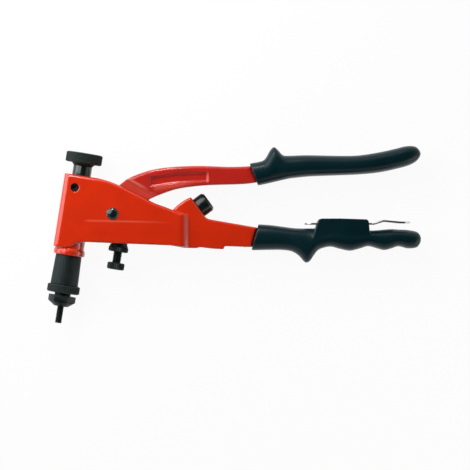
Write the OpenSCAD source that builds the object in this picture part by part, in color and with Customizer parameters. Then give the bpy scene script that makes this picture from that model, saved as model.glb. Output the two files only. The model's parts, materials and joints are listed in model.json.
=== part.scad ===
// Hand tool that sets rivet nuts, laid on its side with its handles closed.
// X runs along the handles, Y along the nose axis towards the knob, Z across the cheeks.
// The origin is the middle of the nosepiece's end face.

/* [Nose] */
// Diameter of the mandrel's thread
mandrel_d = 5; // [4:0.5:6]
// How much thinner the mandrel's shank is than its thread
mandrel_relief = 0.6; // [0.4:0.1:1]
// Length of mandrel beyond the nosepiece
mandrel_out = 12.2; // [8:0.1:16]
// Length of mandrel held in the chuck
mandrel_held = 15; // [10:0.5:16]
// Width of the nosepiece across its flats
nose_flats = 17; // [16:0.5:19]
// Height of the nosepiece's head
nose_h = 7.7; // [6:0.1:10]
// Height of the cone at the end of the nosepiece
nose_cone_h = 3.5; // [2:0.1:4.5]
// Diameter of the nosepiece's end face
nose_face_d = 10; // [8:0.5:12]
// Diameter of the nosepiece's threaded stem
stem_d = 11.6; // [11:0.1:12.4]
// Length of stem showing above the nosepiece's head
stem_gap = 2; // [1.5:0.1:3.5]
// Length of stem screwed into the nose sleeve
stem_held = 6.5; // [4:0.5:8]
// Diameter of the nose lock ring
ring_d = 23.6; // [22:0.2:26]
// Thickness of the nose lock ring
ring_t = 5.8; // [4:0.2:8]
// Diameter of the nose sleeve at its lower end
sleeve_d = 20; // [19:0.2:22]
// Diameter of the nose sleeve at its upper end
sleeve_top_d = 18.6; // [18:0.2:20]
// Length of the nose sleeve
sleeve_l = 21.6; // [20:0.2:26]
// Diameter of the spigot that the nose sleeve screws onto
spigot_d = 15; // [14.4:0.2:16]
// Length of that spigot
spigot_l = 10; // [8:0.5:12]

/* [Head] */
// Width of the head across its cheeks
head_w = 23; // [22:0.5:26]
// Distance from the nose axis to the lever's pivot
pivot_x = 27; // [26:0.5:30]
// Height of the pivot above the nose sleeve
pivot_h = 34.4; // [33:0.2:38]
// Height of the head's top face above the pivot
head_rise = 23.5; // [22.5:0.5:27]
// Radius of the head's two front edges
front_r = 4; // [3:0.5:6]
// Width of the slot between the cheeks
slot_w = 14; // [13:0.2:15]
// Depth of the slot's floor below the pivot
slot_depth = 13; // [12.8:0.1:14]
// Diameter of the collar above the nose sleeve
collar_d = 22.6; // [21:0.2:24]
// Height of the collar
collar_h = 4.4; // [3:0.2:6]
// Diameter of the boss between the collar and the cheeks
boss_d = 20.4; // [19:0.2:22]
// Gap that shows the boss between the collar and the head's foot
foot_gap = 0.8; // [0.5:0.1:1.2]
// Diameter of the guide screw
guide_d = 6; // [5:0.5:6]
// Length of the guide screw's thread
guide_l = 2.25; // [1.75:0.05:2.75]
// Distance of the guide screw below the head's top face
guide_drop = 9.2; // [9:0.1:9.6]
// Offset of the guide screw from the nose axis
guide_x = -2.6; // [-3:0.1:-1]
// Length of the guide bush in the head's top
bush_l = 6; // [4:0.5:6]
// Wall of the guide bush
bush_wall = 1.6; // [1.2:0.1:2]

/* [Lower handle] */
// Width of the lower arm across its faces
arm_w = 16; // [14:0.5:18]
// Width of the tang inside the lower grip
tang_w = 12; // [10:0.5:14]
// Width of the grips across their faces
grip_w = 23; // [21:0.5:26]
// Diameter of the stop buffer
buffer_d = 14.8; // [12:0.2:16]
// Height of the stop buffer
buffer_h = 8.8; // [6:0.2:10]
// Diameter of the buffer's stud
buffer_stud_d = 5; // [4:0.5:6]
// Length of that stud in the fin
buffer_stud_l = 11; // [8:0.5:12]
// Length of that stud in the buffer
buffer_held = 5; // [3:0.5:5.5]
// Chamfer on the buffer's free end
buffer_rim = 1.6; // [0.8:0.1:2]

/* [Lever] */
// How far the lever swings open, in degrees
swing = 14; // [8:1:15]
// Diameter of the pivot pin
pivot_d = 8; // [7:0.5:9]
// Diameter of the pivot pin's domed head
pivot_head_d = 9; // [9:0.5:11]
// Height of that dome
pivot_head_h = 1.8; // [1:0.1:2.2]
// Wall of the lever's bush
lever_bush_wall = 2; // [1.5:0.1:2.5]
// Thickness of the circlip on the pivot pin
clip_t = 0.9; // [0.7:0.1:1.2]
// Width of the circlip's ring outside the pin
clip_w = 2; // [1.5:0.1:3]
// Depth of the pin's groove for the circlip
clip_groove = 0.6; // [0.4:0.1:0.8]
// Diameter of the lever's hub
hub_d = 20; // [19:0.5:20.5]
// Width of the lever's arm across its faces
lever_w = 16; // [15:0.5:18]
// Diameter of the fork's round prong ends
prong_d = 8; // [7:0.5:9]
// Width of the fork's prongs behind their round ends
prong_waist = 5.6; // [5:0.2:6]
// Depth of the sunk panels in the lever's faces
panel_depth = 0.8; // [0.4:0.1:1.2]

/* [Draw sleeve and spindle] */
// Diameter of the draw sleeve
draw_d = 13.7; // [13.3:0.1:14.3]
// Diameter of the draw sleeve's neck
neck_d = 8.8; // [8.4:0.1:9]
// Thickness of the draw sleeve's lower collar
draw_collar_t = 6; // [4:0.5:7]
// Depth of the spindle's seat in the draw sleeve
seat_depth = 14; // [10:0.5:16]
// Diameter of the spindle's shank
spindle_d = 10; // [9.4:0.1:10.4]
// Diameter of the spindle's rod
rod_d = 5.5; // [5:0.1:5.8]
// Length of rod held in the chuck
rod_held = 12; // [8:0.5:13]
// Diameter of the chuck that holds the mandrel
chuck_d = 10; // [9.4:0.1:10.6]
// Thickness of each thrust washer
washer_t = 1; // [0.8:0.1:1.5]
// Diameter of the knob
knob_d = 26.4; // [24:0.2:28]
// Thickness of the knob's disc
knob_t = 7.4; // [6:0.2:9]
// Height of the cone under the knob's disc
knob_cone_h = 1.9; // [1:0.1:3]
// Diameter of that cone where it meets the disc
knob_cone_d = 17; // [15:0.5:20]
// Diameter of the knob screw's head
screw_head_d = 8; // [7:0.5:9]
// Diameter of the knob screw's thread
knob_screw_d = 4; // [3:0.5:5]
// Length of that thread in the spindle
knob_screw_l = 8; // [6:0.5:10]
// Thickness of the knob above the spindle
knob_cap_t = 3; // [2.6:0.1:4]

/* [Stroke stop] */
// Distance of the stroke screw from the pivot
stop_x = 7.6; // [7:0.2:8]
// Diameter of the stroke screw
stop_d = 6.5; // [6:0.1:7]
// Depth of the lever's heel below the pivot
heel_h = 11.2; // [11:0.1:11.8]
// Diameter of the stroke screw's head
stop_head_d = 12.4; // [11:0.2:14]
// Thickness of that head
stop_head_t = 5; // [4:0.2:7]
// Length of screw showing between its head and the lock nut
stop_show = 7.8; // [6.5:0.1:10]
// Diameter of the lock nut
nut_d = 14.2; // [12:0.2:15]
// Thickness of the lock nut
nut_t = 4; // [3:0.2:6]
// Thickness of the lock nut's washer
nut_washer_t = 1; // [0.8:0.1:1.5]
// Diameter of the threaded insert's flange
insert_flange_d = 11.8; // [11:0.2:12.6]
// Thickness of that flange
insert_flange_t = 2.3; // [1.5:0.1:3]
// Diameter of the threaded insert's body
insert_d = 9.2; // [8.6:0.2:9.8]
// Gap between the lock nut's washer and the head's underside
nut_drop = 0.38; // [0.3:0.02:0.6]

/* [Wrench] */
// Thickness of the wrench's plate
wrench_t = 1.3; // [1:0.1:1.6]
// Width of the wrench's handle
wrench_w = 12; // [10:0.5:14]
// Width of the wrench's head
wrench_head_w = 18; // [17:0.5:20]
// Width of the wrench's jaw
jaw_w = 10; // [8:0.5:11]
// Width of the block that holds the wrench
block_w = 20; // [18:0.5:22]

/* [Clearances] */
// Radial clearance of running fits
fit = 0.05; // [0.02:0.01:0.08]
// Gap between the lever and each cheek
side_gap = 0.25; // [0.2:0.05:0.4]
// Gap between the fork's prongs and the neck
prong_gap = 0.2; // [0.15:0.05:0.4]
// Gap between the stroke screw and the lever's heel
heel_gap = 0.1; // [0.05:0.05:0.3]
// Gap between the open knob and the head
knob_gap = 0.4; // [0.3:0.1:1]
// Gap around the wrench in its block
wrench_gap = 0.25; // [0.2:0.05:0.4]
// Chamfer on the rims of knurled parts
rim = 0.6; // [0.3:0.1:1]
// Gap between the open chuck and the nosepiece's stem
chuck_gap = 3.4; // [2:0.2:5]
// Radial gap around the chuck
chuck_play = 0.6; // [0.3:0.1:0.8]

/* [Hidden] */
$fn = 64;
CUT = 1;
FAR = 60;

// Heights along the nose axis
nose_corners = nose_flats / cos(30);
ring_y = nose_h + stem_gap;
sleeve_y = ring_y + ring_t;
stem_top = sleeve_y + stem_held;
head_y = sleeve_y + sleeve_l;
pivot_y = head_y + pivot_h;
head_top = pivot_y + head_rise;

// Lever, fork and draw sleeve at the closed end of the stroke
half_swing = swing / 2;
stroke = 2 * pivot_x * sin(half_swing);
fork_tip = [-pivot_x * cos(half_swing), pivot_x * sin(half_swing)];
fork_y = pivot_y + fork_tip[1];
prong_r = prong_d / 2;
prong_l = draw_d / 2 + 2 * side_gap;
lever_hub_w = slot_w - 2 * side_gap;
groove_top = fork_y + prong_r + fit;
groove_bottom = fork_y - prong_r - fit;
collar_y = groove_bottom - draw_collar_t;
draw_top = head_top + stroke + knob_gap;
seat_y = draw_top - seat_depth;
chuck_top = collar_y - washer_t - fit;
chuck_y = stem_top + stroke + chuck_gap;
rod_y = chuck_top - rod_held;
mandrel_top = chuck_y + mandrel_held;
mandrel_shank_d = mandrel_d - mandrel_relief;
mandrel_tip = 0.5;
bore_d = draw_d + 2 * fit;
chuck_bore_d = chuck_d + 2 * chuck_play;
bore_step = head_y + spigot_l;

// Knob above the draw sleeve
knob_y = draw_top + fit;
disc_y = knob_y + knob_cone_h;
knob_top = disc_y + knob_t;
spindle_top = knob_top - knob_cap_t;
screw_head_h = 2.2;
screw_hex_d = 2.6;
screw_hex_h = 1.4;

// Guide screw: its dog point runs in a slot of the draw sleeve
guide_y = head_top - guide_drop;
dog_d = 3;
dog_depth = 0.65;
draw_slot_z = sqrt(pow(draw_d / 2, 2) - guide_x * guide_x) - dog_depth;
dog_z = draw_slot_z + side_gap;
guide_shank_z = bore_d / 2 + fit;
guide_top = guide_shank_z + guide_l;
guide_hex_h = 1.2;

// Slot: its ceiling over the fork and its front wall behind the column
slot_ceiling = 10;
slot_wall_x = -15;
slot_end_x = -pivot_x - prong_r - 1;

// Pivot pin and its circlip behind the rear cheek
lever_bush_d = pivot_d + 2 * fit + 2 * lever_bush_wall;
clip_z = -head_w / 2 - clip_t - fit;
pin_end_z = clip_z - clip_groove;
clip_bore_d = pivot_d - 2 * clip_groove;

// Stroke screw, whose lock nut lies just under the head's sloping underside
stop_y = pivot_y - heel_h - heel_gap;
floor_y = pivot_y - slot_depth;
cheek_low = collar_h + foot_gap - pivot_h;
lobe_end = [-pivot_x + 10.7, cheek_low + 6.1];
arm_root = [44, -16];
under_slope = (arm_root[1] - lobe_end[1]) / (arm_root[0] - lobe_end[0]);
nut_face = pivot_y + lobe_end[1] + under_slope * (stop_x - nut_d / 2 - lobe_end[0]) - nut_drop;
spot_y = nut_face + insert_flange_t;
nut_y = nut_face - nut_washer_t - nut_t;
stop_head_y = nut_y - stop_show - stop_head_t;

// Outlines in the plane of the handles, measured from the pivot
lobe = [
  [-pivot_x - 2.3, cheek_low], [-pivot_x + 0.6, cheek_low + 1.6], [-pivot_x + 2.8, cheek_low + 3.5],
  [-pivot_x + 5.8, cheek_low + 5.1], lobe_end
];
cheek_top = [
  [62, head_rise - 17.6], [49.5, head_rise - 15.6], [36.7, head_rise - 12.8], [27.7, head_rise - 11],
  [16.9, head_rise - 7.4], [9.2, head_rise - 5], [0, head_rise - 2.2], [-7, head_rise - 0.7], [-13, head_rise]
];
front_mid = head_w / 2 - front_r;
head_front = [
  for (a = [90:15:180]) [-front_mid, front_mid] + front_r * [cos(a), sin(a)],
  for (a = [180:15:270]) [-front_mid, -front_mid] + front_r * [cos(a), sin(a)]
];
band_turn = 9;
band_start = 50.1;
band_end = 54.4;
fin_peak = [53.5, head_rise - 2.9];
fin_face = 17.1;
fin_turn = 45;
buffer_at = 9.4;
fin_foot = fin_peak + fin_face * [cos(fin_turn), -sin(fin_turn)];
fin_back = [
  [38, head_rise - 17], [41.3, head_rise - 14.5], [45, head_rise - 9.9], [50, head_rise - 5.1], fin_peak
];
arm_top = [fin_foot, [67.5, 7.4], [72, 7], [103.5, 6.5]];
pad_end = [62.6, -15.1];
arm_low = [
  [101.7, -8.1], [82.9, -10.4], [82.4, -12.7], [74, -13.6], [65.6, -13.9], pad_end, [54, -16.2], arm_root,
  [38, -14]
];
lever_top = [
  [6, head_rise + 2.8], [13.1, head_rise + 7.4], [23.9, head_rise + 12.6], [37.8, head_rise + 16.7],
  [56.2, head_rise + 20.3], [77.7, head_rise + 23], [92.1, head_rise + 25.8]
];
lever_low = [
  [98.4, head_rise + 14.9], [88.2, head_rise + 12], [65.5, head_rise + 7.7], [51.5, head_rise + 4.2],
  [40.4, head_rise + 0.3], [28.5, head_rise - 6.2]
];
lever_step = [19.3, head_rise - 2.4];
heel_from = stop_x - stop_d / 2 - 1;
heel_to = stop_x + stop_d / 2 + 1;
lever_web = [
  [-7.5, 6], [heel_from, -heel_h], [heel_to, -heel_h], [13.5, -4], [17, 4.5], [23.5, head_rise - 9.5],
  [32, head_rise - 4], [26, head_rise + 4], lever_top[1], lever_top[0], [1.5, head_rise - 2.2], [-3, 13]
];
panel = [
  [21.9, head_rise + 6.6], [23, head_rise - 0.3], [43, head_rise + 5.8], [64, head_rise + 10.2],
  [62.6, head_rise + 16.6], [42, head_rise + 12.8]
];

// Lower grip: stations in the handle's own frame, top point, bottom point and half width share
lower_at = [103.3, -0.7];
lower_turn = 8;
lower_stations = [
  [2.3, 9.4, -2.3, -9.4, 0.86], [11, 9, 11, -8.9, 0.9], [20, 8, 20, -8.8, 0.92], [27, 7.2, 27, -9.8, 0.94],
  [32, 7, 31.9, -12.8, 0.96], [35.4, 7, 35.3, -16.5, 0.96], [37.5, 7.1, 37.4, -17.7, 0.96],
  [40, 7.1, 39.9, -16.4, 0.96], [42.5, 7.1, 42.1, -13.1, 0.96], [46, 7.1, 45.5, -8.6, 0.97],
  [50, 7, 49.9, -6.6, 0.98], [55, 7, 54.9, -5.8, 1], [61.4, 6.9, 61.4, -7.3, 1], [68.6, 6.8, 68.6, -8.5, 1],
  [75.8, 6.5, 75.8, -6.7, 1], [81.5, 6.3, 81.5, -5, 1], [87.3, 6.6, 87.3, -6.3, 1], [93, 7.2, 93, -7.6, 1],
  [98.1, 7.6, 98.1, -6.4, 1], [103.4, 7.4, 103.4, -4.7, 0.98], [110, 7.2, 110, -6.1, 0.95],
  [116.4, 6, 116.1, -5.4, 0.82], [118.8, 3.5, 118.6, -2.7, 0.58], [119.6, 0.6, 119.6, 0.2, 0.1]
];
lower_tang = [
  [-8, 7.9], [2, 6.5], [30, 4.6], [100, 3.6], [100, -2.6], [52, -3.4], [30, -5.2], [2, -6.4], [-8, -7.4]
];
block = [
  [43, 5.5], [43.8, 11.8], [44.4, 13.4], [45.9, 14.2], [61, 14.6], [79.7, 14.2], [80.9, 13.5], [81.4, 12],
  [82.2, 5.5]
];

// Upper grip: stations in its own frame
upper_at = [95.4, head_rise + 20.3];
upper_turn = 16;
upper_stations = [
  [-2.1, 8.3, 2.1, -8.3, 0.86], [7, 8.9, 8.5, -7.7, 0.9], [10.3, 11.1, 11.5, -7.4, 0.92],
  [13.7, 15.7, 14.3, -7.1, 0.94], [16.9, 17.9, 17, -6.8, 0.94], [19.6, 15.2, 20, -6.5, 0.95],
  [22.5, 11.3, 23, -6.2, 0.96], [27, 10.3, 27, -6, 0.97], [40, 9.1, 40, -6.3, 1], [62.5, 5.9, 62.5, -8.2, 1],
  [76, 4.5, 76, -9.2, 1], [90, 4.8, 90, -9.5, 1], [102.4, 5.9, 102.1, -8.5, 1], [111, 6.9, 111, -7.2, 0.97],
  [117.4, 6, 116.6, -5.2, 0.82], [120.2, 3.1, 119.6, -2.6, 0.58], [121.2, 0.4, 121.2, 0, 0.1]
];
upper_tang = [
  [-8, 5], [-2, 5.6], [30, 5.4], [62, 2.8], [100, 1.8], [100, -4.8], [62, -4.6], [30, -3.4], [2, -5.2],
  [-8, -5.4]
];

// Wrench: bends of its plate in its own frame, and how it lies in the block
wrench_at = [62.5, 10.8];
wrench_turn = 1;
wrench_path = [[-27, 0], [23, 0], [29.7, 2.1], [41.4, 1], [48.6, 0.8]];
wrench_neck = 20;
wrench_end = 48.6;

// Smooth curve through points, with a number of steps in each span
function pick(p, i) = p[min(max(i, 0), len(p) - 1)];
function blend(a, b, c, d, t) =
  0.5 * (2 * b + (c - a) * t + (2 * a - 5 * b + 4 * c - d) * t * t + (3 * b - a - 3 * c + d) * t * t * t);
function curve(p, steps) = [
  for (i = [0:len(p) - 2]) for (k = [0:steps - 1])
    blend(pick(p, i - 1), p[i], p[i + 1], pick(p, i + 2), k / steps),
  p[len(p) - 1]
];

// Round section between a station's top and bottom points
function soft(x) = sign(x) * pow(abs(x), 0.8);
function section_point(s, a, half) =
  let (t = (1 + soft(sin(a))) / 2)
  [s[2] + (s[0] - s[2]) * t, s[3] + (s[1] - s[3]) * t, half * s[4] * soft(cos(a))];

// Half of the wrench's head, from neck to end on one side and back on the other
function wrench_half(side) =
  let (half = [
    [wrench_neck, side * wrench_w / 2], [wrench_neck + 8, side * wrench_head_w / 2],
    [wrench_end - 4, side * wrench_head_w / 2], [wrench_end, side * (wrench_head_w / 2 - 2.5)]
  ])
  side < 0 ? half : [for (i = [3:-1:0]) half[i]];

// Four corners of the band that touches two circles
function tangent_band(a, ra, b, rb) =
  let (run = norm(b - a), heading = atan2(b[1] - a[1], b[0] - a[0]), lean = acos((ra - rb) / run))
  [
    a + ra * [cos(heading + lean), sin(heading + lean)], a + ra * [cos(heading - lean), sin(heading - lean)],
    b + rb * [cos(heading - lean), sin(heading - lean)], b + rb * [cos(heading + lean), sin(heading + lean)]
  ];

module at_pivot() translate([pivot_x, pivot_y, 0]) children();

module at_lower() at_pivot() translate(lower_at) rotate(lower_turn) children();

module at_upper() at_pivot() translate(upper_at) rotate(upper_turn) children();

module at_wrench() at_lower() translate(wrench_at) rotate(wrench_turn) children();

module at_buffer() at_pivot()
  translate(fin_peak + buffer_at * [cos(fin_turn), -sin(fin_turn)]) rotate([0, 90, fin_turn]) children();

module plate(w) translate([0, 0, -w / 2]) linear_extrude(w) children();

// Round bar along the nose direction
module rod(d, from, to, x = 0) translate([x, from, 0]) rotate([-90, 0, 0]) cylinder(d = d, h = to - from);

module cone(d1, d2, from, to, x = 0)
  translate([x, from, 0]) rotate([-90, 0, 0]) cylinder(d1 = d1, d2 = d2, h = to - from);

// Round disc with a chamfer on both rims
module rimmed(d, from, to, x = 0) {
  cone(d - 2 * rim, d, from, from + rim, x);
  rod(d, from + rim, to - rim, x);
  cone(d, d - 2 * rim, to - rim, to, x);
}

module skin(stations, half, sides = 12) {
  rings = [for (s = stations) [for (k = [0:sides - 1]) section_point(s, 360 * k / sides, half)]];
  last = len(rings) - 1;
  polyhedron(
    points = [for (r = rings) each r],
    faces = [
      [for (k = [sides - 1:-1:0]) k],
      for (i = [0:last - 1]) for (k = [0:sides - 1]) let (a = i * sides + k, b = i * sides + (k + 1) % sides)
        each [[a, b, a + sides], [b, b + sides, a + sides]],
      [for (k = [0:sides - 1]) last * sides + k]
    ]
  );
}

// What lies outside the head's rounded front, seen along the nose axis
module front_waste() {
  last = len(head_front) - 1;
  first_out = 2 * head_front[0] - head_front[1];
  last_out = 2 * head_front[last] - head_front[last - 1];
  polygon(concat(
    [first_out], head_front, [last_out],
    [[last_out[0], -FAR], [-FAR, -FAR], [-FAR, FAR], [first_out[0], FAR]]
  ));
}

// What lies outside the slant from a cheek to the arm's face, seen along the band
module band_waste(side) {
  slant = [band_end - band_start, (arm_w - head_w) / 2];
  outer = [band_start, head_w / 2] - slant;
  inner = [band_end, arm_w / 2] + 2 * slant;
  polygon([for (p = [outer, inner, [inner[0] + FAR, inner[1]], [inner[0] + FAR, FAR], [outer[0], FAR]])
    [p[0], side * p[1]]]);
}

module head_block() {
  left = -pivot_x - head_w / 2 - CUT;
  low = concat([[left, cheek_low]], curve(lobe, 4), [arm_root, pad_end]);
  difference() {
    at_pivot() plate(head_w) polygon(concat(low, curve(cheek_top, 4), [[left, head_rise]]));
    translate([0, head_y, 0]) rotate([-90, 0, 0]) linear_extrude(head_top - head_y + CUT) front_waste();
    for (side = [-1, 1]) at_pivot() rotate(band_turn) translate([0, -FAR, 0]) rotate([-90, 0, 0])
      linear_extrude(2 * FAR) band_waste(side);
  }
}

module slot_outline() polygon([
  [slot_end_x, -slot_depth], [heel_to + 3.7, -slot_depth], [heel_to + 4.2, -7.5], [20, 4.5],
  [26, head_rise - 8], [32, head_rise + 3], [slot_wall_x, head_rise + 3], [slot_wall_x, slot_ceiling],
  [slot_end_x, slot_ceiling]
]);

module body_casting() color("orangered") difference() {
  union() {
    head_block();
    at_pivot() plate(arm_w) polygon(concat(curve(fin_back, 4), curve(arm_top, 3), curve(arm_low, 1)));
    at_lower() plate(tang_w) polygon(lower_tang);
    rimmed(collar_d, head_y, head_y + collar_h);
    rod(boss_d, head_y, pivot_y - slot_depth);
    rod(spigot_d, head_y - spigot_l, head_y + CUT);
  }
  at_pivot() plate(slot_w) slot_outline();
  rod(chuck_bore_d, head_y - spigot_l - CUT, head_top);
  rod(bore_d, bore_step, head_top + CUT);
  rod(bore_d + 2 * bush_wall, head_top - bush_l, head_top + CUT);
  at_pivot() cylinder(d = pivot_d, h = head_w + 2 * CUT, center = true);
  translate([guide_x, guide_y, 0]) cylinder(d = guide_d, h = head_w);
  rod(insert_d, nut_face - CUT, floor_y + CUT, pivot_x + stop_x);
  rod(insert_flange_d + 2 * side_gap, nut_face - FAR / 2, spot_y, pivot_x + stop_x);
  at_buffer() translate([0, 0, -buffer_stud_l]) cylinder(d = buffer_stud_d, h = buffer_stud_l + CUT);
}

module lower_grip() color("darkslategray") difference() {
  at_lower() union() {
    skin(curve(lower_stations, 2), grip_w / 2);
    plate(block_w) polygon(block);
  }
  at_lower() plate(tang_w) polygon(lower_tang);
  at_wrench() translate([-FAR / 2, -wrench_t / 2 - wrench_gap, -wrench_w / 2 - wrench_gap])
    cube([FAR - 10, wrench_t + 2 * wrench_gap, wrench_w + 2 * wrench_gap]);
}

module nose_sleeve() color("darkslategray") difference() {
  cone(sleeve_d, sleeve_top_d, sleeve_y, head_y);
  rod(stem_d + 2 * fit, sleeve_y - CUT, head_y);
  rod(spigot_d, head_y - spigot_l, head_y + CUT);
}

module pivot_pin() color("black") at_pivot() {
  dome_r = (pow(pivot_head_d / 2, 2) + pow(pivot_head_h, 2)) / (2 * pivot_head_h);
  translate([0, 0, pin_end_z]) cylinder(d = pivot_d, h = clip_z - pin_end_z);
  translate([0, 0, pin_end_z]) cylinder(d = clip_bore_d, h = head_w / 2 - pin_end_z);
  translate([0, 0, clip_z + clip_t]) cylinder(d = pivot_d, h = head_w / 2 - clip_z - clip_t);
  intersection() {
    translate([0, 0, head_w / 2 + pivot_head_h - dome_r]) sphere(r = dome_r);
    translate([0, 0, head_w / 2]) cylinder(d = pivot_head_d + CUT, h = pivot_head_h + CUT);
  }
}

module pivot_circlip() color("dimgray") at_pivot() translate([0, 0, clip_z]) difference() {
  cylinder(d = pivot_d + 2 * clip_w, h = clip_t);
  translate([0, 0, -CUT]) cylinder(d = clip_bore_d, h = clip_t + 2 * CUT);
  translate([0, -pivot_d, -CUT]) cube([pivot_d, pivot_d, clip_t + 2 * CUT]);
}

module guide_bush() color("goldenrod") difference() {
  rod(bore_d + 2 * bush_wall, head_top - bush_l, head_top);
  rod(bore_d, head_top - bush_l - CUT, head_top + CUT);
}

module guide_screw() color("black") translate([guide_x, guide_y, 0]) difference() {
  union() {
    translate([0, 0, dog_z]) cylinder(d = dog_d, h = guide_top - dog_z);
    translate([0, 0, guide_shank_z]) cylinder(d = guide_d, h = guide_top - guide_shank_z);
  }
  translate([0, 0, guide_top - guide_hex_h]) cylinder(d = guide_d / 2, h = guide_hex_h + CUT, $fn = 6);
}

module stop_buffer() color("black") at_buffer() difference() {
  union() {
    cylinder(d = buffer_d, h = buffer_h - buffer_rim);
    translate([0, 0, buffer_h - buffer_rim])
      cylinder(d1 = buffer_d, d2 = buffer_d - 2 * buffer_rim, h = buffer_rim);
  }
  translate([0, 0, -CUT]) cylinder(d = buffer_stud_d, h = buffer_held + CUT);
}

module buffer_stud() color("silver") at_buffer()
  translate([0, 0, -buffer_stud_l]) cylinder(d = buffer_stud_d, h = buffer_stud_l + buffer_held);

module stop_insert() color("dimgray") difference() {
  union() {
    rod(insert_flange_d, nut_face, spot_y, pivot_x + stop_x);
    rod(insert_d, nut_face, floor_y, pivot_x + stop_x);
  }
  rod(stop_d + 2 * fit, nut_face - CUT, floor_y + CUT, pivot_x + stop_x);
}

module lever() color("firebrick") at_pivot() difference() {
  union() {
    plate(lever_hub_w) {
      circle(d = hub_d);
      translate(fork_tip) circle(d = prong_d);
      polygon(tangent_band([0, 0], hub_d / 2 - side_gap, fork_tip * (1 - prong_l / pivot_x), prong_waist / 2));
      polygon(tangent_band([0, 0], prong_waist / 2, fork_tip, prong_waist / 2));
      polygon(lever_web);
    }
    plate(lever_w) polygon(concat(curve(lever_top, 3), curve(lever_low, 3), [lever_step]));
    translate(upper_at) rotate(upper_turn) plate(tang_w) polygon(upper_tang);
  }
  cylinder(d = lever_bush_d, h = head_w, center = true);
  translate([fork_tip[0] - FAR / 2, -FAR / 2, -neck_d / 2 - prong_gap])
    cube([FAR / 2 + pivot_x - hub_d / 2 - 4, FAR, neck_d + 2 * prong_gap]);
  for (side = [-1, 1]) translate([0, 0, side * (lever_w / 2)]) plate(2 * panel_depth) polygon(panel);
}

module lever_bush() color("goldenrod") at_pivot() difference() {
  cylinder(d = lever_bush_d, h = lever_hub_w, center = true);
  cylinder(d = pivot_d + 2 * fit, h = head_w, center = true);
}

module upper_grip() color("darkslategray") at_upper() difference() {
  skin(curve(upper_stations, 2), grip_w / 2);
  plate(tang_w) polygon(upper_tang);
}

module draw_sleeve() color("darkslategray") difference() {
  union() {
    rod(draw_d, collar_y, groove_bottom);
    rod(neck_d, collar_y, draw_top);
    rod(draw_d, groove_top, draw_top);
  }
  rod(rod_d + 2 * fit, collar_y - CUT, draw_top);
  rod(spindle_d + 2 * fit, seat_y, draw_top + CUT);
  translate([guide_x - dog_d / 2 - side_gap, guide_y - dog_d / 2 - side_gap, draw_slot_z])
    cube([dog_d + 2 * side_gap, stroke + dog_d + 2 * side_gap, draw_d]);
}

module upper_thrust_washer() color("goldenrod") difference() {
  rod(spindle_d + 2 * fit, seat_y, seat_y + washer_t);
  rod(rod_d + 2 * fit, seat_y - CUT, seat_y + washer_t + CUT);
}

module lower_thrust_washer() color("goldenrod") difference() {
  rod(chuck_d + 2, collar_y - washer_t, collar_y);
  rod(rod_d + 2 * fit, collar_y - washer_t - CUT, collar_y + CUT);
}

module spindle() color("silver") difference() {
  union() {
    rod(rod_d, rod_y, spindle_top);
    rod(spindle_d, seat_y + washer_t + fit, spindle_top);
  }
  rod(knob_screw_d, spindle_top - knob_screw_l, spindle_top + CUT);
}

module knob() color("darkslategray") difference() {
  union() {
    cone(draw_d, knob_cone_d, knob_y, disc_y);
    rimmed(knob_d, disc_y, knob_top);
  }
  rod(spindle_d, knob_y - CUT, spindle_top);
  rod(knob_screw_d, spindle_top - CUT, knob_top);
  cone(knob_screw_d, screw_head_d, knob_top - screw_head_h, knob_top);
}

module knob_screw() color("silver") difference() {
  union() {
    rod(knob_screw_d, spindle_top - knob_screw_l, knob_top - screw_head_h);
    cone(knob_screw_d, screw_head_d, knob_top - screw_head_h, knob_top);
  }
  translate([0, knob_top - screw_hex_h, 0]) rotate([-90, 0, 0])
    cylinder(d = screw_hex_d, h = screw_hex_h + CUT, $fn = 6);
}

module mandrel_chuck() color("silver") difference() {
  rod(chuck_d, chuck_y, chuck_top);
  rod(mandrel_shank_d, chuck_y - CUT, mandrel_top);
  rod(rod_d, rod_y, chuck_top + CUT);
}

module mandrel() color("gray") {
  cone(mandrel_d - 1, mandrel_d, -mandrel_out, mandrel_tip - mandrel_out);
  rod(mandrel_d, mandrel_tip - mandrel_out, 0);
  rod(mandrel_shank_d, -CUT, mandrel_top);
}

module nosepiece() color("darkslategray") difference() {
  union() {
    intersection() {
      rotate([-90, 0, 0]) cylinder(d = nose_corners, h = nose_h, $fn = 6);
      union() {
        cone(nose_face_d, nose_corners, 0, nose_cone_h);
        rod(nose_corners, nose_cone_h, nose_h);
      }
    }
    rod(stem_d, nose_h - CUT, stem_top);
  }
  rod(mandrel_d + 2 * fit, -CUT, stem_top + CUT);
}

module nose_lock_ring() color("darkslategray") difference() {
  rimmed(ring_d, ring_y, sleeve_y - fit);
  rod(stem_d + 2 * fit, ring_y - CUT, sleeve_y + CUT);
}

module stroke_stud() color("black") rod(stop_d, stop_head_y, stop_y, pivot_x + stop_x);

module stroke_knob() color("black") difference() {
  rimmed(stop_head_d, stop_head_y, stop_head_y + stop_head_t, pivot_x + stop_x);
  rod(stop_d + 2 * fit, stop_head_y - CUT, stop_head_y + stop_head_t + CUT, pivot_x + stop_x);
}

module stop_washer() color("black") difference() {
  rod(nut_d - 1, nut_face - nut_washer_t, nut_face, pivot_x + stop_x);
  rod(stop_d + 2 * fit, nut_face - nut_washer_t - CUT, nut_face + CUT, pivot_x + stop_x);
}

module stop_lock_nut() color("black") difference() {
  rimmed(nut_d, nut_y, nut_y + nut_t - fit, pivot_x + stop_x);
  rod(stop_d + 2 * fit, nut_y - CUT, nut_y + nut_t + CUT, pivot_x + stop_x);
}

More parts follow.
